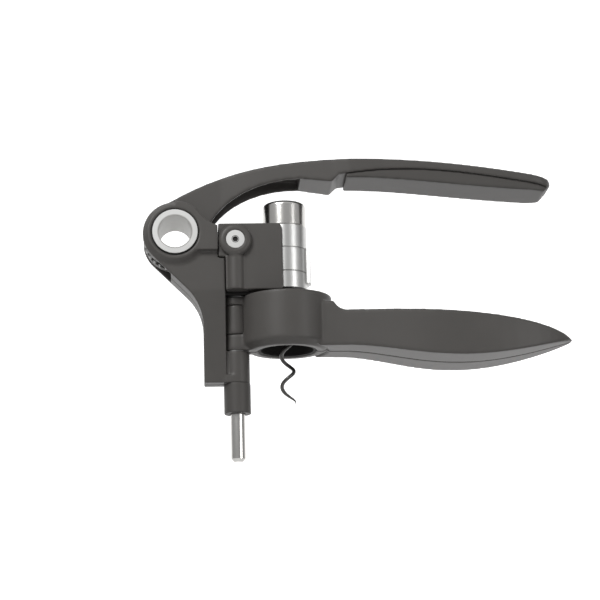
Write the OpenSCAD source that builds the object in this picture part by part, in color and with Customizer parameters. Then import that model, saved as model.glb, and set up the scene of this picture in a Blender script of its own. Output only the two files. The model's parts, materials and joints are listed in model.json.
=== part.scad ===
// Lever corkscrew. Millimetres. X runs from the pivot towards the handle tips, -Y is the front, +Z is up.
// The origin is on the worm's axis, at the seat of the bottle's lip.

/* [Layout] */
// Distance from the worm axis to the lever pivot, along X
pivot_back = 60; // [56:0.5:64]
// Height of the lever pivot above the lip seat
pivot_z = 43; // [40:0.5:46]
// Distance from the worm axis to the guide rod axis, along X
rod_back = 27.5; // [26.5:0.5:29]
// Height of the clamp bolt above the lip seat
bolt_z = 38.2; // [36:0.2:40]
// Length of the two jaw handles, from the worm axis to the tip
jaw_reach = 156.5; // [125:0.5:200]
// Length of the lever, from the worm axis to the end of the grip
lever_reach = 148; // [118:0.5:185]

/* [Pivot and lever gear] */
// Outer radius of the hollow pivot tube
tube_r = 12.2; // [11:0.1:13]
// Bore radius of the hollow pivot tube
tube_bore_r = 9; // [6:0.1:10]
// Half length of the pivot tube
tube_half = 16.4; // [15.5:0.1:20]
// Radius of the frame's ring plates round the pivot
ring_r = 17.5; // [17:0.1:19]
// Number of teeth on the lever gear
gear_teeth = 30; // [28:1:31]
// Gear module
gear_module = 1.1; // [1:0.05:1.1]
// How far the lever swings open, in degrees
lever_swing = 175; // [120:1:175]

/* [Frame] */
// Half width of the frame across its side plates
frame_half = 12.2; // [11.8:0.1:13]
// Thickness of the frame's side plates
plate_t = 2.2; // [1.6:0.1:2.4]
// Half width of the frame at its foot
foot_half = 6.5; // [6.2:0.1:8]
// Half width over the raised pads round the pivot
pad_half = 15.6; // [14:0.1:16]
// Width of the frame's upright strip, along X
strip_w = 12; // [11:0.1:14]
// Depth of the foot below the lip seat
foot_drop = 38.7; // [34:0.1:46]
// Radius of the column and the knuckles on the rod
column_r = 7; // [6.6:0.1:7.4]
// Depth of the sleeve's lower end below the lip seat
sleeve_drop = 55; // [50:0.5:64]

/* [Carriage] */
// Half width of the carriage block
carriage_half = 13.5; // [13:0.1:15]
// Top of the carriage block above the lip seat
carriage_top = 48; // [48:0.1:52]
// Radius of the guide rod
rod_r = 4; // [3.2:0.1:4.4]
// Depth of the rod's lower end below the lip seat
rod_drop = 81; // [70:0.5:96]
// Radius of the boss round the clamp bolt
boss_r = 9.1; // [8:0.1:9.4]
// Height of the boss over the block's face
boss_proud = 3.5; // [2:0.1:5]
// Radius of the metal head over the worm
head_r = 11.9; // [9:0.1:12.4]
// Top of the metal head above the lip seat
head_top = 61.9; // [58:0.1:70]

/* [Worm] */
// Outer radius of the worm
worm_r = 4.5; // [4:0.1:4.6]
// Thickness of the worm's wire
wire_d = 2.3; // [1.8:0.1:2.6]
// Pitch of the worm
worm_pitch = 16.9; // [12:0.1:20]
// Depth of the worm's tip below the lip seat
worm_drop = 50; // [42:0.5:56]

/* [Jaws] */
// Radius of the opening that grips the bottle's neck
neck_r = 14.4; // [14.2:0.1:17]
// Outer radius of the collar
collar_r = 24.7; // [22:0.1:29]
// Top of the collar above the lip seat
collar_top = 8.5; // [8:0.1:8.6]
// Bottom of the collar below the lip seat
collar_drop = 21; // [18:0.1:24]
// Greatest half width of the two handles together
handle_half = 23.2; // [19:0.1:28]
// Wall of the hollow handles
handle_wall = 2.4; // [1.6:0.1:3]

/* [Hidden] */
$fn = 64;

// Clearances
fit = 0.05;          // running fit on a radius
seat = 0.02;         // between pieces that are fixed to each other
gap = 0.4;           // between parts that pass each other
far = 200;           // longer than anything in the model
over = 0.5;          // how far a cutter runs past a face

// Places worked out from the layout
pivot_x = -pivot_back;
rod_x = -rod_back;
gear_r = gear_teeth * gear_module / 2;
tooth_top = 0.9 * gear_module;
tooth_bottom = 1.25 * gear_module;
backlash = 0.12;
pressure = 20;
stroke = gear_r * lever_swing * PI / 180;

// Frame
inner_half = frame_half - plate_t;
boss_left = rod_x - boss_r;
strip_right = rod_x - 5.7;
strip_left = strip_right - strip_w;
saddle_right = boss_left - gap;
shoulder_z = bolt_z - boss_r + gap;
flare_r = 30;
edge_reach = ring_r * sqrt(2);
saddle_curve_r = 20.7;
saddle_curve = [pivot_x + 30, pivot_z + 23];
taper_top = 11;
lever_clear_r = 20.5;
pivot_cut_low = 263.5;
pivot_cut_right = -10;
plate_top = 10.6;
plate_under = 9;
hinge_plate_half = 8;
nut_r = 10;
worm_way_r = worm_r + 0.25;
knuckle_clear = column_r + gap;
column_top = -collar_drop - gap;
foot_h = 4.1;
bush_r = rod_r + 1;
tail_r = bush_r + 1;
sleeve_r = tail_r + 1.2;
seal_w = 0.9;
seal_depth = 1.1;
screw_r = 1.1;
screw_head_r = 2.2;
screw_head_h = 1.4;
frame_screw_spots = [[pivot_x + 9.5, pivot_z - 27.5, 12.2], [strip_right - 2.2, 20, 12.2], [strip_right - 6, -27, 7.8]];

// Rack
rack_half = 2.9;
rack_way_half = rack_half + 0.3;
pitch_x = pivot_x + gear_r;
rack_back = pitch_x + 5.5;
rack_way_right = rack_back + 0.3;
rack_way_left = pitch_x - tooth_top - 1.5;
tooth_pitch = PI * gear_module;
rack_top = pivot_z + 6;
rack_bottom = pivot_z - stroke - 5.5;
tongue_low = bolt_z + 3.3;
tongue_high = carriage_top - 2;
tongue_right = rod_x + 4.5;

// Carriage
carriage_low = plate_top + 0.3;
carriage_right = -2.2;
carriage_left = strip_right + 0.3;
rib_r = 5.2;
rib_y = carriage_half + 2.5 - rib_r;
rib_top = bolt_z - boss_r;
boss_y = carriage_half + boss_proud;
boss_round = 2.4;
bolt_head_r = 5;
bolt_head_h = 1.8;
bolt_r = 2;
socket_r = 2.1;
rod_top = tongue_low - 0.3;
carriage_screw_spots = [[rod_x + 10.5, carriage_top - 4], [rod_x + 10.5, carriage_low + 4]];

// Head and worm
head_low = carriage_low + 1.4;
seam_1 = head_low + 9.5;
seam_2 = seam_1 + 13.3;
seam_3 = seam_2 + 12.9;
seam_chamfer = 0.35;
dome_r = 4;
shank_r = 4;
shank_top = seam_3 + 6;
head_bore_r = 6;
flange_r = 7;
flange_h = 2.2;
clamp_low = head_low + 4;
clamp_high = seam_2 + 0.8;
clamp_t = 2.1;
coil_r = worm_r - wire_d / 2;
worm_start = -166;
wire_sides = 8;
ring_per_turn = 18;

// Lever
arm_half = inner_half - gap;
arch_half = 14.2;
grip_half = 15.2;
cheek_in = rack_half + 0.5;
hub_r = ring_r - 0.5;
sleeve_t = 1;
arch_wall = 2.6;
corner_x = 26;
grip_start = 36;
arch_end = 8.5;

// Jaws
parting = 0.15;
liner_t = 1.6;
knuckle_a = 3.95;
knuckle_b = -12.05;
knuckle_gap = 0.1;
arm_to = -neck_r - liner_t - 1.5;
pocket_from = 38;
cover_t = 1.8;

// Cubic curve through two end points and two handles
function curve(a, b, c, d, from = 0, to = 12) = [for (i = [from:to]) let (t = i / 12, s = 1 - t)
    s * s * s * a + 3 * s * s * t * b + 3 * s * t * t * c + t * t * t * d];

// A flat XZ outline carried from y0 to y1
module along_y(y0, y1) {
    translate([0, y1, 0]) rotate([90, 0, 0]) linear_extrude(y1 - y0) children();
}

// A round bar along Y
module bar_y(x, z, r, y0, y1) {
    translate([x, y1, z]) rotate([90, 0, 0]) cylinder(h = y1 - y0, r = r);
}

// A round bar along Z
module bar_z(x, r, z0, z1) {
    translate([x, 0, z0]) cylinder(h = z1 - z0, r = r);
}

module block(x0, x1, y0, y1, z0, z1) {
    translate([x0, y0, z0]) cube([x1 - x0, y1 - y0, z1 - z0]);
}

module rear() {
    mirror([0, 1, 0]) children();
}

// ---- Frame ----

// Side outline: ring round the pivot, saddle towards the boss, web that flares down into the strip
module frame_side() {
    arc_x = strip_left - flare_r;
    arc_z = pivot_x + pivot_z - edge_reach - arc_x - flare_r * sqrt(2);
    touch = [saddle_curve.x - pivot_x, saddle_curve.y - pivot_z] / norm([saddle_curve.x - pivot_x, saddle_curve.y - pivot_z]);
    difference() {
        union() {
            translate([pivot_x, pivot_z]) circle(r = ring_r);
            polygon(concat(
                [[pivot_x, pivot_z]],
                [[pivot_x - ring_r / sqrt(2), pivot_z - ring_r / sqrt(2)]],
                [for (a = [45:-5:0]) [arc_x + flare_r * cos(a), arc_z + flare_r * sin(a)]],
                [[strip_left, -foot_drop], [strip_right, -foot_drop], [strip_right, shoulder_z - gap]],
                [[saddle_right, shoulder_z - gap], [saddle_right, pivot_z + touch.y * ring_r]],
                [[pivot_x + touch.x * ring_r, pivot_z + touch.y * ring_r]]));
        }
        translate(saddle_curve) circle(r = saddle_curve_r);
    }
}

// Where the lever swings between the side plates
module lever_way() {
    translate([pivot_x, pivot_z]) {
        circle(r = lever_clear_r);
        polygon(concat([[0, 0]], [for (i = [16:-1:0])
            let (a = pivot_cut_right + i * (pivot_cut_low - pivot_cut_right) / 16) 90 * [cos(a), sin(a)]]));
    }
}

// Front half of the frame; the rear half is its mirror image
module frame_half_shell() {
    difference() {
        union() {
            intersection() {
                along_y(-frame_half, 0) frame_side();
                translate([-far, 0, 0]) rotate([90, 0, 90]) linear_extrude(far)
                    polygon([[0, far], [-frame_half, far], [-frame_half, taper_top], [-foot_half, -foot_drop],
                        [0, -foot_drop]]);
            }
            translate([pivot_x, -frame_half, pivot_z]) rotate([90, 0, 0])
                cylinder(h = pad_half - frame_half, r1 = ring_r, r2 = ring_r - 2.6);
            along_y(-pad_half, -frame_half + over) intersection() {
                frame_side();
                translate([pivot_x, bolt_z - 5.4]) square([far, far]);
            }
            intersection() {
                union() {
                    bar_z(rod_x, column_r, -foot_drop, column_top);
                    block(strip_right - over, rod_x, -column_r, 0, -foot_drop, foot_h - foot_drop);
                    block(strip_right - over, rod_x, -foot_half + 1, 0, -foot_drop, column_top);
                    bar_z(rod_x, tail_r, -sleeve_drop + 1, -foot_drop + over);
                }
                block(-far, far, -far, 0, -far, far);
            }
        }
        along_y(-inner_half, over) lever_way();
        block(rack_way_left, rack_way_right, -rack_way_half, over, rack_bottom - 3, far);
        bar_y(pivot_x, pivot_z, tube_r + seat, -far, over);
        bar_y(pivot_x, pivot_z, tube_r + seal_w, -far, -pad_half + seal_depth);
        bar_z(rod_x, knuckle_clear, column_top, plate_under);
        block(rack_way_right - over, far, -hinge_plate_half - seat, over, plate_under - seat, plate_top + seat);
        bar_z(rod_x, bush_r + seat, -sleeve_drop + 1 - over, column_top + over);
        for (s = frame_screw_spots) bar_y(s[0], s[1], screw_r + fit, -s[2] + 1.5, over);
    }
}

module frame_front() {
    color("#4a4642") frame_half_shell();
}

module frame_rear() {
    color("#4a4642") difference() {
        rear() frame_half_shell();
        for (s = frame_screw_spots) {
            bar_y(s[0], s[1], screw_r + fit, -over, s[2]);
            bar_y(s[0], s[1], screw_head_r + fit, s[2] - screw_head_h - 0.3, far);
        }
    }
}

module frame_screws() {
    color("silver") for (s = frame_screw_spots) {
        bar_y(s[0], s[1], screw_r, -s[2] + 2, s[2] - 1.5);
        difference() {
            bar_y(s[0], s[1], screw_head_r, s[2] - screw_head_h - 0.3, s[2] - 0.3);
            bar_y(s[0], s[1], 0.9, s[2] - 1.1, s[2]);
        }
    }
}

module pivot_tube() {
    color("#c9c9c7") difference() {
        bar_y(pivot_x, pivot_z, tube_r, -tube_half, tube_half);
        bar_y(pivot_x, pivot_z, tube_bore_r, -tube_half - over, tube_half + over);
    }
}

module pivot_seal_front() {
    color("#161514") difference() {
        bar_y(pivot_x, pivot_z, tube_r + seal_w - seat, -pad_half + 0.3, -pad_half + seal_depth - seat);
        bar_y(pivot_x, pivot_z, tube_r + seat, -far, 0);
    }
}

module pivot_seal_rear() {
    rear() pivot_seal_front();
}

module hinge_plate() {
    color("#2a2826") difference() {
        union() {
            block(rack_way_right, -6, -hinge_plate_half, hinge_plate_half, plate_under, plate_top);
            bar_z(0, nut_r + 1.5, plate_under, plate_top);
        }
        bar_z(rod_x, rod_r + 0.25, 0, far);
        bar_z(0, worm_way_r, 0, far);
    }
}

// Guides the worm; the bottle's lip seats on its underside
module worm_nut() {
    color("#2a2826") difference() {
        bar_z(0, nut_r, 0, plate_under);
        bar_z(0, worm_way_r, -over, far);
    }
}

module rod_bushes() {
    color("#8a6a3a") for (z = [[column_top - 12, column_top], [-sleeve_drop + 1, -sleeve_drop + 11]]) difference() {
        bar_z(rod_x, bush_r, z[0], z[1]);
        bar_z(rod_x, rod_r + fit, z[0] - over, z[1] + over);
    }
}

module knuckle_washers() {
    color("silver") for (z = [[collar_top, plate_under], [column_top, -collar_drop]]) difference() {
        bar_z(rod_x, column_r - 0.4, z[0] + fit, z[1] - fit);
        bar_z(rod_x, rod_r + fit, z[0] - over, z[1] + over);
    }
}

module foot_sleeve() {
    color("#1c1b1a") difference() {
        bar_z(rod_x, sleeve_r, -sleeve_drop, -foot_drop);
        bar_z(rod_x, tail_r + seat, -sleeve_drop + 1, -foot_drop + over);
        bar_z(rod_x, rod_r + 0.3, -sleeve_drop - over, -sleeve_drop + 1 + over);
    }
}

// ---- Lever ----

arm_top_a = [pivot_x - 7.4, pivot_z + 15.9];
arm_top_c = [34, pivot_z + 40.8];
arm_low_a = [pivot_x + 17, pivot_z + 0.5];
arm_low_c = [arch_end, pivot_z + 30.3];
grip_tip_z = pivot_z + 27.2;

function arm_top(drop = 0) = [for (p = curve(arm_top_a, [pivot_x + 18, pivot_z + 30], [pivot_x + 38, pivot_z + 40.5],
    arm_top_c)) p - [0, drop]];
function grip_top() = curve(arm_top_c, [75, pivot_z + 40.8], [lever_reach - 38, pivot_z + 36], [lever_reach - 2,
    pivot_z + 29], from = 1);
function grip_edge() = curve([30, pivot_z + 32], [70, pivot_z + 39], [lever_reach - 43, pivot_z + 32],
    [lever_reach - 2, pivot_z + 24.5]);
function grip_keel() = curve([30, pivot_z + 30.3], [60, pivot_z + 31.3], [lever_reach - 53, pivot_z + 24.5],
    [lever_reach - 5, pivot_z + 21.8]);
grip_pins = [[grip_start + 3, pivot_z + 31.6, pivot_z + 36.5], [lever_reach - 15, pivot_z + 23.8, pivot_z + 29.3]];
function reversed(list) = [for (i = [len(list) - 1:-1:0]) list[i]];

module arm_side() {
    translate([pivot_x, pivot_z]) circle(r = hub_r);
    polygon(concat(
        [[pivot_x, pivot_z]],
        arm_top(), grip_top(),
        [[lever_reach, grip_tip_z]],
        reversed(grip_edge()),
        [[corner_x, pivot_z + 28]],
        reversed(curve(arm_low_a, [pivot_x + 20, pivot_z + 13], [pivot_x + 38, pivot_z + 30], arm_low_c))));
}

module arm_plan(inset = 0) {
    half = [[-far, arm_half], [pivot_x + 25, arm_half], [corner_x, arch_half], [grip_start, grip_half],
        [lever_reach - 14, grip_half]];
    end = curve([lever_reach - 14, grip_half], [lever_reach - 3, grip_half], [lever_reach, grip_half - 6],
        [lever_reach, 0], from = 1);
    side = [for (p = concat(half, end)) [p.x, max(p.y - inset, 0)]];
    polygon(concat(side, reversed([for (p = side) [p.x, -p.y]])));
}

module lever_arm() {
    color("#4a4642") difference() {
        intersection() {
            along_y(-grip_half - 1, grip_half + 1) arm_side();
            linear_extrude(far) arm_plan();
        }
        intersection() {
            along_y(-arch_half, arch_half)
                polygon(concat([[pivot_x - 30, pivot_z - 30]], [[pivot_x - 30, pivot_z + 10]],
                    [for (p = arm_top(arch_wall + 0.6)) if (p.x < arch_end) p],
                    [[arch_end, pivot_z + 35], [arch_end, pivot_z - 30]]));
            translate([pivot_x + 19, -far / 2, 0]) cube([far, far, far]);
            linear_extrude(far) arm_plan(arch_wall);
        }
        along_y(-cheek_in, cheek_in) translate([pivot_x, pivot_z]) {
            circle(r = gear_r + tooth_top + gap);
            polygon([[0, -20], [20, -20], [20, 24], [8, 22]]);
        }
        bar_y(pivot_x, pivot_z, tube_r + fit + sleeve_t + seat, -far, far);
        block(grip_start + 6, lever_reach - 18, -grip_half + 8, grip_half - 8, 0, pivot_z + 30);
        for (p = grip_pins) bar_z(p.x, screw_r + fit, p.y - 9, p.z);
    }
}

module grip_cover() {
    color("#4a4642") difference() {
        intersection() {
            along_y(-grip_half, grip_half) polygon(concat(grip_edge(), reversed(grip_keel())));
            linear_extrude(far) arm_plan(1.2);
            block(grip_start - 2, far, -far, far, 0, far);
        }
        for (p = grip_pins) bar_z(p.x, screw_r + fit, p.y, p.z);
    }
}

module grip_screws() {
    color("silver") for (p = grip_pins) bar_z(p.x, screw_r, p.y + 0.1, p.z - 0.1);
}

// Involute flank of the lever gear
base_r = gear_r * cos(pressure);
function involute(r) = let (t = sqrt(max(pow(r / base_r, 2) - 1, 0))) t * 180 / PI - atan(t);
function flank(r) = 90 / gear_teeth - backlash * 90 / (PI * gear_r) + involute(gear_r) - involute(max(r, base_r));

module gear_outline() {
    low = gear_r - tooth_bottom;
    high = gear_r + tooth_top;
    radii = [low, base_r, gear_r - 0.4 * gear_module, gear_r, gear_r + 0.45 * gear_module, high];
    polygon([for (i = [0:gear_teeth - 1]) let (a = i * 360 / gear_teeth)
        each concat([for (r = radii) r * [cos(a - flank(r)), sin(a - flank(r))]],
            [for (r = reversed(radii)) r * [cos(a + flank(r)), sin(a + flank(r))]])]);
}

module lever_gear() {
    color("#8d8d8b") difference() {
        union() {
            along_y(-rack_half, rack_half) translate([pivot_x, pivot_z]) gear_outline();
            bar_y(pivot_x, pivot_z, tube_r + fit + sleeve_t, -arm_half, arm_half);
        }
        bar_y(pivot_x, pivot_z, tube_r + fit, -far, far);
    }
}

// ---- Carriage ----

module carriage_side() {
    corner = 2.5;
    difference() {
        union() {
            translate([carriage_left, carriage_low]) square([carriage_right - carriage_left, carriage_top - carriage_low]);
            translate([boss_left, shoulder_z]) square([far, carriage_top - shoulder_z]);
        }
        translate([carriage_right, carriage_low - over]) square([far, far]);
        difference() {
            translate([carriage_right - corner, carriage_top - corner]) square(2 * corner);
            translate([carriage_right - corner, carriage_top - corner]) circle(r = corner);
        }
    }
}

// Round pad for the bolt's head, with a rounded rim
module boss() {
    h = boss_proud + over;
    rotate_extrude() polygon(concat([[0, 0]],
        curve([boss_r, h - boss_round], [boss_r, h - boss_round / 2],
            [boss_r - boss_round / 2, h], [boss_r - boss_round, h]),
        [[0, h]]));
}

module carriage_half_shell() {
    difference() {
        union() {
            along_y(-carriage_half, 0) carriage_side();
            translate([0, -rib_y, 0]) bar_z(rod_x, rib_r, carriage_low, rib_top + over);
            translate([rod_x, -carriage_half + over, bolt_z]) rotate([90, 0, 0]) boss();
        }
        bar_z(0, head_r + seat, 0, far);
        bar_z(rod_x, rod_r, 0, rod_top + 0.1);
        block(rod_x + 7, -head_r - clamp_t - 1.2, -carriage_half + 2, over, carriage_low + 7, carriage_top - 7);
        block(-far, tongue_right + 0.1, -rack_half - seat, over, tongue_low - seat, tongue_high + seat);
        bar_y(rod_x, bolt_z, bolt_r + seat, -far, over);
        bar_y(rod_x, bolt_z, bolt_head_r + seat, -far, -boss_y + bolt_head_h + 0.3);
        bar_y(rod_x - 2.5, (tongue_low + tongue_high) / 2, 1.2 + seat, -10, over);
        for (s = carriage_screw_spots) bar_y(s[0], s[1], screw_r + fit, -carriage_half + 2, over);
    }
}

module carriage_front() {
    color("#4f4b47") carriage_half_shell();
}

module carriage_rear() {
    color("#4f4b47") difference() {
        rear() carriage_half_shell();
        for (s = carriage_screw_spots) {
            bar_y(s[0], s[1], screw_r + fit, -over, carriage_half);
            bar_y(s[0], s[1], screw_head_r + fit, carriage_half - screw_head_h - 0.3, far);
        }
    }
}

module carriage_screws() {
    color("silver") for (s = carriage_screw_spots) {
        bar_y(s[0], s[1], screw_r, -carriage_half + 3, carriage_half - 1.5);
        difference() {
            bar_y(s[0], s[1], screw_head_r, carriage_half - screw_head_h - 0.3, carriage_half - 0.3);
            bar_y(s[0], s[1], 0.9, carriage_half - 1.1, carriage_half);
        }
    }
}

module guide_rod() {
    point = 1.6;
    color("#c9c9c7") difference() {
        union() {
            bar_z(rod_x, rod_r, -rod_drop + point, rod_top);
            translate([rod_x, 0, -rod_drop]) cylinder(h = point, r1 = rod_r - point, r2 = rod_r);
        }
        bar_y(rod_x, bolt_z, bolt_r + seat, -far, far);
    }
}

module rack_outline() {
    first = ceil((rack_bottom - pivot_z) / tooth_pitch + 0.5);
    last = floor((rack_top - pivot_z) / tooth_pitch - 0.5);
    half = tooth_pitch / 4 - backlash / 2;
    root_x = pitch_x + tooth_bottom;
    tip_x = pitch_x - tooth_top;
    rise = tan(pressure);
    polygon(concat(
        [[rack_back, rack_top], [rack_back, rack_bottom], [root_x, rack_bottom]],
        [for (i = [first:last]) let (z = pivot_z + (i + 0.5) * tooth_pitch)
            each [[root_x, z - half - rise * tooth_bottom], [tip_x, z - half + rise * tooth_top],
                [tip_x, z + half - rise * tooth_top], [root_x, z + half + rise * tooth_bottom]]],
        [[root_x, rack_top]]));
}

module rack_bar() {
    color("#8d8d8b") difference() {
        union() {
            along_y(-rack_half, rack_half) rack_outline();
            block(rack_back - over, tongue_right, -rack_half, rack_half, tongue_low, tongue_high);
        }
        bar_y(rod_x - 2.5, (tongue_low + tongue_high) / 2, 1.2 + seat, -far, far);
    }
}

module rack_pin() {
    color("silver") bar_y(rod_x - 2.5, (tongue_low + tongue_high) / 2, 1.2, -9.9, 9.9);
}

module clamp_bolt() {
    color("#c9c9c7") difference() {
        union() {
            bar_y(rod_x, bolt_z, bolt_r, -boss_y + 0.3, boss_y - 0.8);
            bar_y(rod_x, bolt_z, bolt_head_r, -boss_y + 0.3, -boss_y + 0.3 + bolt_head_h);
        }
        bar_y(rod_x, bolt_z, socket_r - 0.6, -far, -boss_y + 1.5);
    }
}

module clamp_nut() {
    color("#c9c9c7") difference() {
        bar_y(rod_x, bolt_z, bolt_head_r, boss_y - 0.3 - bolt_head_h, boss_y - 0.3);
        bar_y(rod_x, bolt_z, bolt_r + seat, 0, far);
    }
}

// One turned segment of the head, with a small chamfer at each seam
module head_segment(low, high, bore) {
    c = seam_chamfer;
    rotate_extrude() polygon([[bore, low], [head_r - c, low], [head_r, low + c], [head_r, high - c],
        [head_r - c, high], [bore, high]]);
}

module head_base() {
    color("#b4b4b2") head_segment(head_low, seam_1, head_bore_r);
}

module head_ring_lower() {
    color("#b4b4b2") difference() {
        head_segment(seam_1, seam_2, head_bore_r);
        bar_z(0, flange_r + 0.1, seam_1 - over, seam_1 + flange_h + 0.2);
    }
}

module head_ring_upper() {
    color("#b4b4b2") head_segment(seam_2, seam_3, head_bore_r);
}

module head_cap() {
    color("#d6d6d6") rotate_extrude() polygon(concat(
        [[head_bore_r, seam_3], [head_r - seam_chamfer, seam_3], [head_r, seam_3 + seam_chamfer]],
        [for (a = [0:10:80]) [head_r - dome_r + dome_r * cos(a), head_top - dome_r * 0.6 + dome_r * 0.6 * sin(a)]],
        [[head_r - dome_r, head_top], [0, head_top], [0, head_top - 3], [head_bore_r, head_top - 3]]));
}

module head_clamp() {
    color("#b4b4b2") difference() {
        rotate([0, 0, -20]) rotate_extrude(angle = 117) polygon([[head_r + seat, clamp_low],
            [head_r + clamp_t, clamp_low], [head_r + clamp_t, clamp_high - 1.6], [head_r + clamp_t - 0.5,
            clamp_high - 0.5], [head_r + clamp_t - 1.6, clamp_high], [head_r + seat, clamp_high]]);
    }
}

module worm_bushes() {
    color("#8a6a3a") for (z = [[head_low, seam_1 - 0.1], [seam_2 + 1, seam_3]]) difference() {
        bar_z(0, head_bore_r - seat, z[0], z[1]);
        bar_z(0, shank_r + fit, z[0] - over, z[1] + over);
    }
}

// ---- Worm ----

// The wire's rings follow a helix that hangs from the shank and narrows to a point
module helix() {
    top = head_low - 1.3;
    length = top + worm_drop;
    steps = ceil(length / worm_pitch * ring_per_turn);
    points = [for (i = [0:steps]) let (
        u = i / steps, a = worm_start - 360 * length / worm_pitch * u, left = length * (1 - u),
        thin = min(1, 0.18 + left / 9), r = wire_d / 2 * thin, reach = coil_r + max(0, 0.7 - left / 10))
        for (k = [0:wire_sides - 1]) let (b = k * 360 / wire_sides)
            [(reach + r * cos(b)) * cos(a), (reach + r * cos(b)) * sin(a), top - length * u + 1.25 * r * sin(b)]];
    walls = [for (i = [0:steps - 1], k = [0:wire_sides - 1]) let (j = (k + 1) % wire_sides, n = wire_sides)
        [i * n + k, (i + 1) * n + k, (i + 1) * n + j, i * n + j]];
    first = [for (k = [0:wire_sides - 1]) k];
    last = [for (k = [wire_sides - 1:-1:0]) steps * wire_sides + k];
    polyhedron(points, concat([first], walls, [last]));
}

module worm() {
    color("#151515") {
        helix();
        bar_z(0, shank_r, head_low - 2.4, shank_top);
        bar_z(0, flange_r, seam_1 + 0.1, seam_1 + flange_h);
    }
}

// ---- Jaws ----

// Side outline of a jaw handle; inset draws it smaller
module handle_side(inset = 0) {
    tip = [jaw_reach - inset * 2.5, -17.6];
    ramp = [[-9, collar_top - 5], [0, collar_top - 5], [1.6, collar_top - 7.4], [3.4, -0.6], [6, -1.5]];
    polygon(concat(
        inset > 0 ? [[pocket_from - 24, -1.5 - inset]] : [for (p = ramp) [collar_r + p.x, p.y]],
        curve([pocket_from - 24, -1.5 - inset], [75, -1.5 - inset], [jaw_reach - 22, -5.5 - inset], tip,
            from = 1, to = 11),
        reversed(concat([[pocket_from - 24, -collar_drop + inset]],
            curve([34, -collar_drop - 0.2 + inset], [55, -22.5 + inset], [70, -28.2 + inset], [95, -28.2 + inset]),
            curve([95, -28.2 + inset], [118, -28.2 + inset], [jaw_reach - 16.5, -22 + inset], tip, from = 1)))));
}

module handle_plan(inset = 0) {
    neck = handle_half - 6.7;
    side = concat([[pocket_from - 24, neck - inset]],
        curve([20, neck - inset], [45, neck + 1 - inset], [65, handle_half - inset], [90, handle_half - inset]),
        curve([90, handle_half - inset], [jaw_reach - 31.5, handle_half - inset], [jaw_reach - 1.5 - inset, 15 - inset],
            [jaw_reach - inset * 2, 0], from = 1));
    polygon(concat([[pocket_from - 24, 1], [jaw_reach - inset * 2, 1]], reversed([for (p = side) [p.x, -p.y]])));
}

module jaw_handle(inset = 0, to = -parting) {
    intersection() {
        along_y(-far, to) handle_side(inset);
        translate([0, 0, -far / 2]) linear_extrude(far) handle_plan(inset);
    }
}

// Front jaw without its knuckles
module jaw_body() {
    chamfer = [4.7, 3];
    arm_from = rod_x + rod_r + 1;
    difference() {
        rotate([0, 0, 180]) rotate_extrude(angle = 180) polygon([[neck_r + liner_t, -collar_drop],
            [collar_r - chamfer.x, -collar_drop], [collar_r, -collar_drop + chamfer.y], [collar_r, collar_top],
            [neck_r + liner_t, collar_top]]);
        block(-far, far, -parting, far, -far, far);
        bar_z(rod_x, column_r - 0.6, -far, far);
    }
    difference() {
        jaw_handle();
        bar_z(0, collar_r - 2, -far, far);
        intersection() {
            jaw_handle(handle_wall, over);
            block(pocket_from, jaw_reach - 10, -far, far, -far, far);
        }
    }
    block(arm_from, arm_to, -column_r - 3, -parting, -collar_drop + 4.7, collar_top);
    block(arm_from, arm_to, -column_r, -parting, -collar_drop, collar_top);
}

module jaw_front() {
    color("#4a4642") union() {
        difference() {
            jaw_body();
            bar_z(rod_x, column_r + gap, knuckle_b - knuckle_gap, knuckle_a + knuckle_gap);
        }
        for (z = [[-collar_drop, knuckle_b - knuckle_gap], [knuckle_a + knuckle_gap, collar_top]])
            knuckle(z[0], z[1]);
    }
}

module jaw_rear() {
    color("#4a4642") union() {
        difference() {
            rear() jaw_body();
            bar_z(rod_x, column_r + gap, -far, knuckle_b);
            bar_z(rod_x, column_r + gap, knuckle_a, far);
        }
        rear() knuckle(knuckle_b, knuckle_a);
    }
}

// A ring round the rod with its short root on the front side
module knuckle(low, high) {
    difference() {
        union() {
            bar_z(rod_x, column_r, low, high);
            block(rod_x, min(rod_x + column_r + 2, arm_to), -column_r, -parting, low, high);
        }
        bar_z(rod_x, rod_r + fit, low - over, high + over);
    }
}

module jaw_front_cover() {
    color("#3a3734") intersection() {
        along_y(-parting - cover_t, -parting) handle_side(handle_wall + 0.1);
        block(pocket_from + 0.1, jaw_reach - 12, -far, far, -far, far);
    }
}

module jaw_rear_cover() {
    rear() jaw_front_cover();
}

module jaw_front_liner() {
    color("#1c1b1a") difference() {
        rotate([0, 0, 180]) rotate_extrude(angle = 180) polygon([[neck_r, -collar_drop + 0.6],
            [neck_r + liner_t, -collar_drop + 0.6], [neck_r + liner_t, collar_top - 0.3], [neck_r, collar_top - 0.3]]);
        block(-far, far, -parting, far, -far, far);
    }
}

module jaw_rear_liner() {
    rear() jaw_front_liner();
}

frame_front();
frame_rear();
pivot_tube();
pivot_seal_front();
pivot_seal_rear();
hinge_plate();
worm_nut();
rod_bushes();
knuckle_washers();
foot_sleeve();
frame_screws();
lever_arm();
grip_cover();
lever_gear();
grip_screws();
carriage_front();
carriage_rear();
guide_rod();
rack_bar();
rack_pin();
clamp_bolt();
clamp_nut();
head_base();
head_ring_lower();
head_ring_upper();
head_cap();
head_clamp();
worm_bushes();
carriage_screws();
worm();
jaw_front();
jaw_front_cover();
jaw_front_liner();
jaw_rear();
jaw_rear_cover();
jaw_rear_liner();
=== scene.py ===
import bpy
import json
import math
from mathutils import Matrix, Vector

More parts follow.
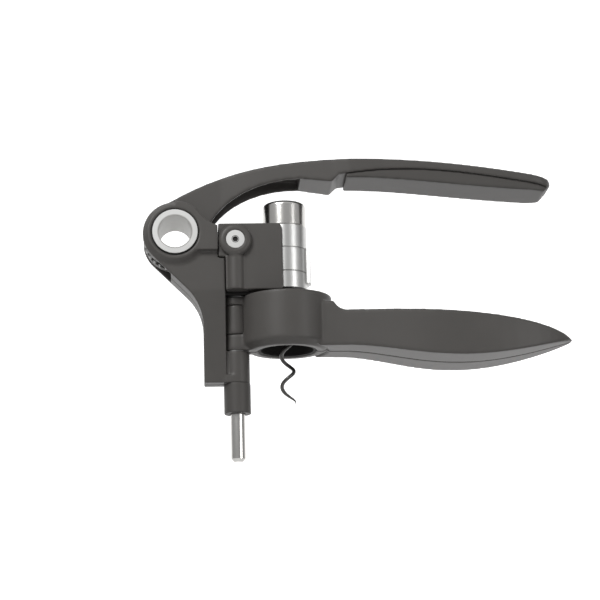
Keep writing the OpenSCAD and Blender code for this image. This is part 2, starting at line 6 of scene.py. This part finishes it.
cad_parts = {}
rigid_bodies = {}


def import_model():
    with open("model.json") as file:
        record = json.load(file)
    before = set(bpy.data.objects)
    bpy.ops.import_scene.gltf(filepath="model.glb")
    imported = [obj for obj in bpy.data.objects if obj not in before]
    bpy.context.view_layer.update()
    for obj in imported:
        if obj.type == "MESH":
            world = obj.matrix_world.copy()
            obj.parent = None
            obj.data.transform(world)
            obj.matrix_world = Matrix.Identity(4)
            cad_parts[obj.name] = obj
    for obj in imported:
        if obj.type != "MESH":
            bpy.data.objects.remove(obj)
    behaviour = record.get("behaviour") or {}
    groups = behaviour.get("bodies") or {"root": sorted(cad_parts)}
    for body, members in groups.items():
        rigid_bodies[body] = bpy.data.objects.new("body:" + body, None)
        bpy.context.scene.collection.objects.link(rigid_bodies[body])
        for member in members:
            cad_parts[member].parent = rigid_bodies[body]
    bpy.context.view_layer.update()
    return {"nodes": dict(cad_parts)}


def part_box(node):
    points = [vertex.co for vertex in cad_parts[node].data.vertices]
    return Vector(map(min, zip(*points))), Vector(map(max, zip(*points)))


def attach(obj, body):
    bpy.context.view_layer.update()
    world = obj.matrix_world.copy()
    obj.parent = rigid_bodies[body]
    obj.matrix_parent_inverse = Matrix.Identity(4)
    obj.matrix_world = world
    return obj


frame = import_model()
mm = 0.001
print("frame loaded")


# ---- small helpers ----

def clearSelection():
    for other in bpy.context.scene.objects:
        other.select_set(False)


class Socket:
    # one output socket, so that shader maths reads as an expression
    def __init__(self, tree, out):
        self.tree = tree
        self.out = out

    def join(self, operation, other, swap=False):
        first, second = (other, self) if swap else (self, other)
        return self.tree.node("ShaderNodeMath", dict(operation=operation), {0: first, 1: second})

    def __add__(self, other):
        return self.join("ADD", other)

    def __radd__(self, other):
        return self.join("ADD", other)

    def __sub__(self, other):
        return self.join("SUBTRACT", other)

    def __rsub__(self, other):
        return self.join("SUBTRACT", other, True)

    def __mul__(self, other):
        return self.join("MULTIPLY", other)

    def __rmul__(self, other):
        return self.join("MULTIPLY", other)


class Tree:
    # the emptied node tree of a material or world
    def __init__(self, owner):
        owner.use_nodes = True
        self.nodes = owner.node_tree.nodes
        self.links = owner.node_tree.links
        self.nodes.clear()

    def node(self, kind, settings=None, values=None, output=0):
        # a new node with its settings and inputs, which gives the output asked for
        made = self.nodes.new(kind)
        for key, value in (settings or {}).items():
            if key == "stops":
                ramp = made.color_ramp.elements
                while len(ramp) < len(value):
                    ramp.new(0.5)
                for stop, (position, grey) in zip(ramp, value):
                    stop.position = position
                    stop.color = (grey, grey, grey, 1)
            else:
                setattr(made, key, value)
        for key, value in (values or {}).items():
            if isinstance(value, Socket):
                self.links.new(value.out, made.inputs[key])
            else:
                made.inputs[key].default_value = value
        return Socket(self, made.outputs[output]) if made.outputs else None

    def noise(self, where, scale, detail):
        return self.node("ShaderNodeTexNoise", None, {"Vector": where, "Scale": scale, "Detail": detail})

    def tint(self, factor, low, high):
        return self.node(
            "ShaderNodeMix", dict(data_type="RGBA"), {0: factor, 6: (*low, 1), 7: (*high, 1)}, 2)

    def bump(self, height, strength, depth):
        return self.node("ShaderNodeBump", None, {"Height": height, "Strength": strength, "Distance": depth})


def principled(name, build):
    # a material whose shader inputs are what build makes in its tree
    material = bpy.data.materials.new(name)
    tree = Tree(material)
    shader = tree.node("ShaderNodeBsdfPrincipled", None, build(tree))
    tree.node("ShaderNodeOutputMaterial", values={"Surface": shader})
    return material


# ---- materials ----

objectPlace = 3  # the texture coordinate node's output that follows the object

mouldedPlastic = dict(
    low=(0.057, 0.054, 0.051),
    high=(0.071, 0.067, 0.063),
    specular=0.26,
    cloudScale=38.0,
    grainScale=2600.0,
    grainStrength=0.35,
    grainDepth=0.012 * mm,
    rough=0.40,
    roughSpan=0.08,
)


def plasticMaterial(name, tone=1.0, rougher=0.0, look=mouldedPlastic):
    def build(tree):
        place = tree.node("ShaderNodeTexCoord", output=objectPlace)
        cloud = tree.noise(place, look["cloudScale"], detail=3.0)
        grain = tree.noise(place, look["grainScale"], detail=2.0)
        low, high = (tuple(c * tone for c in look[key]) for key in ("low", "high"))
        return {
            "Base Color": tree.tint(cloud, low, high),
            "Roughness": grain * look["roughSpan"] + (look["rough"] + rougher),
            "Normal": tree.bump(grain, look["grainStrength"], look["grainDepth"]),
            "Specular IOR Level": look["specular"],
        }
    return principled(name, build)


latheMarks = dict(
    ringStrength=0.25,
    ringRough=0.08,
    smudgeScale=60.0,
    smudgeRough=0.06,
    smudgeTone=0.95,
)


def turnedMetal(name, colour, rough, ringScale, ringDepth, axis=2, look=latheMarks):
    # lathe marks run round the axis, so the pattern changes only along it
    def build(tree):
        place = tree.node("ShaderNodeTexCoord", output=objectPlace)
        along = tree.node("ShaderNodeSeparateXYZ", None, {0: place}, axis)
        line = tree.node("ShaderNodeCombineXYZ", None, {2: along})
        rings = tree.noise(line, ringScale, detail=4.0)
        smudge = tree.noise(place, look["smudgeScale"], detail=3.0)
        return {
            "Base Color": tree.tint(smudge, tuple(c * look["smudgeTone"] for c in colour), colour),
            "Metallic": 1.0,
            "Roughness": rings * look["ringRough"] + smudge * look["smudgeRough"] + rough,
            "Normal": tree.bump(rings, look["ringStrength"], ringDepth),
        }
    return principled(name, build)


low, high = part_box("pivot_tube")
tubeFinishAndBoreShade = dict(
    centre=(low + high) / 2,
    boreRadius=9.05,
    edge=0.7,
    face=(0.66, 0.66, 0.65),
    # the bore's dark colour and lower metallic are painted shade inside the hole
    bore=(0.26, 0.255, 0.24),
    boreMetallic=0.65,
    ringScale=7000.0,
    ringStrength=0.25,
    ringDepth=0.005 * mm,
    smudgeScale=90.0,
    rough=0.28,
    ringRough=0.1,
    smudgeRough=0.08,
)


def tubeMaterial(name, look=tubeFinishAndBoreShade):
    # bright turned end faces, and a bore painted darker and less metallic as painted shade inside the hole
    def build(tree):
        place = tree.node("ShaderNodeTexCoord", output=objectPlace)
        fromAxis = tree.node("ShaderNodeMapping", None, {
            "Vector": place, "Location": (-look["centre"].x, 0, -look["centre"].z), "Scale": (1, 0, 1)})
        radius = tree.node("ShaderNodeVectorMath", dict(operation="LENGTH"), {0: fromAxis}, 1)
        onFace = tree.node("ShaderNodeMapRange", None, {
            "Value": radius, 1: look["boreRadius"] * mm, 2: (look["boreRadius"] + look["edge"]) * mm})
        line = tree.node("ShaderNodeCombineXYZ", None, {0: radius})
        rings = tree.noise(line, look["ringScale"], detail=4.0)
        smudge = tree.noise(place, look["smudgeScale"], detail=3.0)
        return {
            "Base Color": tree.tint(onFace, look["bore"], look["face"]),
            "Metallic": onFace * (1 - look["boreMetallic"]) + look["boreMetallic"],
            "Roughness": rings * look["ringRough"] + smudge * look["smudgeRough"] + look["rough"],
            "Normal": tree.bump(rings, look["ringStrength"], look["ringDepth"]),
        }
    return principled(name, build)


wireCoating = dict(
    low=(0.022, 0.021, 0.019),
    high=(0.05, 0.047, 0.042),
    speckScale=900.0,
    speckStrength=0.3,
    speckDepth=0.02 * mm,
    rough=0.27,
    roughSpan=0.12,
    coat=0.3,
)


def coatedWire(name, look=wireCoating):
    def build(tree):
        place = tree.node("ShaderNodeTexCoord", output=objectPlace)
        speck = tree.noise(place, look["speckScale"], detail=3.0)
        return {
            "Base Color": tree.tint(speck, look["low"], look["high"]),
            "Roughness": speck * look["roughSpan"] + look["rough"],
            "Normal": tree.bump(speck, look["speckStrength"], look["speckDepth"]),
            "Coat Weight": look["coat"],
        }
    return principled(name, build)


shell = plasticMaterial("darkShell")
cover = plasticMaterial("darkCover", 0.92, 0.04)
trim = plasticMaterial("blackTrim", 0.2, -0.06)
softLiner = plasticMaterial("softLiner", 0.22, 0.25)
tubeMetal = tubeMaterial("brightTube")
polished = turnedMetal("polishedSteel", (0.66, 0.65, 0.63), 0.13, 6000.0, 0.002 * mm)
satin = turnedMetal("satinSteel", (0.62, 0.62, 0.61), 0.27, 9000.0, 0.006 * mm)
boltMetal = turnedMetal("boltSteel", (0.68, 0.68, 0.67), 0.34, 9000.0, 0.004 * mm, axis=1)
# dark steel: its low tone is painted shade, so the gear in the lower opening reads as a dark gap; the rack,
# pin, washers and screws share it
steelDarkenedAsShade = turnedMetal("steelDarkenedAsShade", (0.22, 0.22, 0.215), 0.38, 5000.0, 0.006 * mm)
bronze = turnedMetal("bearingBronze", (0.55, 0.38, 0.18), 0.38, 5000.0, 0.006 * mm)
wire = coatedWire("wormCoating")
print("materials made")

nodeLooks = {
    shell: "frame_front frame_rear lever_arm carriage_front carriage_rear jaw_front jaw_rear",
    cover: "foot_sleeve grip_cover jaw_front_cover jaw_rear_cover",
    trim: "pivot_seal_front pivot_seal_rear hinge_plate worm_nut",
    softLiner: "jaw_front_liner jaw_rear_liner",
    tubeMetal: "pivot_tube",
    polished: "guide_rod head_cap",
    boltMetal: "clamp_bolt clamp_nut",
    satin: "head_base head_ring_lower head_ring_upper head_clamp",
    steelDarkenedAsShade: "rack_bar lever_gear rack_pin knuckle_washers frame_screws grip_screws carriage_screws",
    bronze: "rod_bushes worm_bushes",
    wire: "worm",
}
for material, names in nodeLooks.items():
    for name in names.split():
        node = frame["nodes"][name]
        node.data.materials.clear()
        node.data.materials.append(material)


# ---- moulded shells ----

shellWeld = 0.002

# the remesh's voxel in mm and how often it is smoothed
shellSoftness = dict(
    frame_front=(0.5, 6),
    frame_rear=(0.5, 6),
    lever_arm=(0.6, 8),
    carriage_front=(0.45, 6),
    carriage_rear=(0.45, 6),
    jaw_front=(0.6, 10),
    jaw_rear=(0.6, 10),
    grip_cover=(0.6, 10),
    foot_sleeve=(0.3, 3),
)


def merge(node, distance):
    weld = node.modifiers.new("weld", "WELD")
    weld.merge_threshold = distance * mm


def soften(name, voxel, rounds):
    node = frame["nodes"][name]
    merge(node, shellWeld)
    remesh = node.modifiers.new("remesh", "REMESH")
    remesh.mode = "VOXEL"
    remesh.voxel_size = voxel * mm
    remesh.use_smooth_shade = True
    smooth = node.modifiers.new("smooth", "SMOOTH")
    smooth.factor = 0.5
    smooth.iterations = rounds


for name, (voxel, rounds) in shellSoftness.items():
    soften(name, voxel, rounds)
print("shells softened")


# ---- worm ----

wormSurface = dict(
    weld=0.01,
    subdivisions=2,
)


def smoothWorm(look=wormSurface):
    node = frame["nodes"]["worm"]
    merge(node, look["weld"])
    finer = node.modifiers.new("finer", "SUBSURF")
    finer.levels = finer.render_levels = look["subdivisions"]
    node.data.polygons.foreach_set("use_smooth", [True] * len(node.data.polygons))


smoothWorm()
print("worm smoothed")


# ---- clamp bolt's socket ----

socketSize = dict(
    radius=2.0,
    depth=1.1,
    wall=0.28,
    hollow=0.88,
    proud=0.03,
    sides=48,
    crease=35,
)


def makeSocket(look=socketSize):
    low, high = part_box("clamp_bolt")
    centre = (low + high) / 2
    clearSelection()
    bpy.ops.mesh.primitive_cylinder_add(
        vertices=look["sides"], radius=look["radius"] * mm, depth=look["depth"] * mm,
        location=(centre.x, low.y + (look["depth"] / 2 - look["proud"]) * mm, centre.z),
        rotation=(math.radians(90), 0, 0))
    piece = bpy.context.active_object
    piece.name = "boltSocketPaintedShade"
    bpy.ops.object.transform_apply(location=True, rotation=True, scale=True)
    bpy.ops.object.mode_set(mode="EDIT")
    bpy.ops.mesh.select_mode(type="FACE")
    bpy.ops.mesh.select_all(action="DESELECT")
    bpy.ops.object.mode_set(mode="OBJECT")
    front = min(piece.data.polygons, key=lambda face: face.center.y)
    front.select = True
    bpy.ops.object.mode_set(mode="EDIT")
    bpy.ops.mesh.inset(thickness=look["wall"] * mm, depth=0)
    bpy.ops.mesh.extrude_region_move(TRANSFORM_OT_translate={"value": (0, look["hollow"] * mm, 0)})
    bpy.ops.object.mode_set(mode="OBJECT")
    bpy.ops.object.shade_smooth_by_angle(angle=math.radians(look["crease"]))
    # the socket's black colour is painted shade for the dark recess in the bolt head; the hollow itself is
    # real
    piece.data.materials.append(trim)
    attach(piece, "carriage")


makeSocket()
print("socket made")


# ---- camera, light and floor ----

shot = dict(
    aim=(6.96, -11.24, 5.07),
    distance=1100,
    azimuth=3.4,
    elevation=-13.5,
    roll=1.5,
    lens=122.2,
)


def makeCamera(look=shot):
    turn, rise, roll = (math.radians(look[key]) for key in ("azimuth", "elevation", "roll"))
    ahead = Vector((math.sin(turn) * math.cos(rise), math.cos(turn) * math.cos(rise), -math.sin(rise)))
    level = Vector((math.cos(turn), -math.sin(turn), 0))
    upright = level.cross(ahead)
    right = level * math.cos(roll) - upright * math.sin(roll)
    up = level * math.sin(roll) + upright * math.cos(roll)
    camera = bpy.data.objects.new("camera", bpy.data.cameras.new("camera"))
    bpy.context.scene.collection.objects.link(camera)
    camera.data.lens = look["lens"]
    camera.data.clip_start = 0.01
    place = Vector(look["aim"]) * mm - ahead * look["distance"] * mm
    facing = Matrix((right, up, -ahead)).transposed()
    camera.matrix_world = Matrix.Translation(place) @ facing.to_4x4()
    bpy.context.scene.camera = camera


lights = dict(
    key=dict(place=(-0.55, -0.95, 0.75), size=0.6, power=13),
    fill=dict(place=(0.9, -0.9, 0.1), size=0.5, power=3.2),
    under=dict(place=(-0.2, -0.7, -0.9), size=0.6, power=0.35),
)


def makeLight(name, look):
    light = bpy.data.objects.new(name, bpy.data.lights.new(name, "AREA"))
    bpy.context.scene.collection.objects.link(light)
    light.data.shape = "DISK"
    light.data.size = look["size"]
    light.data.energy = look["power"]
    light.location = look["place"]
    light.rotation_mode = "QUATERNION"
    light.rotation_quaternion = (-Vector(look["place"])).to_track_quat("-Z", "Y")


# grey of the surroundings, from straight below to straight above
tentTones = [(0.0, 0.03), (0.40, 0.12), (0.62, 0.42), (1.0, 0.7)]


def makeWorld(tones=tentTones):
    world = bpy.data.worlds.new("studio")
    bpy.context.scene.world = world
    tree = Tree(world)
    towards = tree.node("ShaderNodeTexCoord")
    height = tree.node("ShaderNodeSeparateXYZ", None, {0: towards}, 2) * 0.5 + 0.5
    tone = tree.node("ShaderNodeValToRGB", dict(stops=tones), {"Fac": height})
    ground = tree.node("ShaderNodeBackground", None, {"Color": tone, "Strength": 1.0})
    tree.node("ShaderNodeOutputWorld", values={"Surface": ground})


def makePlane(name, look):
    clearSelection()
    bpy.ops.mesh.primitive_plane_add(
        size=look["size"], location=look["place"], rotation=(math.radians(look["tilt"]), 0, 0))
    plane = bpy.context.active_object
    plane.name = name
    plane.data.materials.append(principled(look["material"], lambda tree: look["finish"]))
    return plane


paleBackdrop = dict(
    size=8,
    place=(0, 1.6, 1.2),
    tilt=90,
    material="paleBackdrop",
    finish={
        "Base Color": (0.8, 0.8, 0.8, 1),
        "Roughness": 0.9,
        "Emission Color": (0.97, 0.97, 0.97, 1),
        "Emission Strength": 0.8,
    },
)


def makeBackdrop(look=paleBackdrop):
    backdrop = makePlane("backdrop", look)


paleFloor = dict(
    size=6,
    place=(0, 0, -1.1),
    tilt=0,
    material="paleFloor",
    finish={
        "Base Color": (0.85, 0.85, 0.85, 1),
        "Roughness": 0.8,
    },
)


def makeFloor(look=paleFloor):
    floor = makePlane("floor", look)


makeCamera()
makeWorld()
makeBackdrop()
for name, look in lights.items():
    makeLight(name, look)
makeFloor()
bpy.context.scene.view_settings.view_transform = "Standard"
print("studio made")
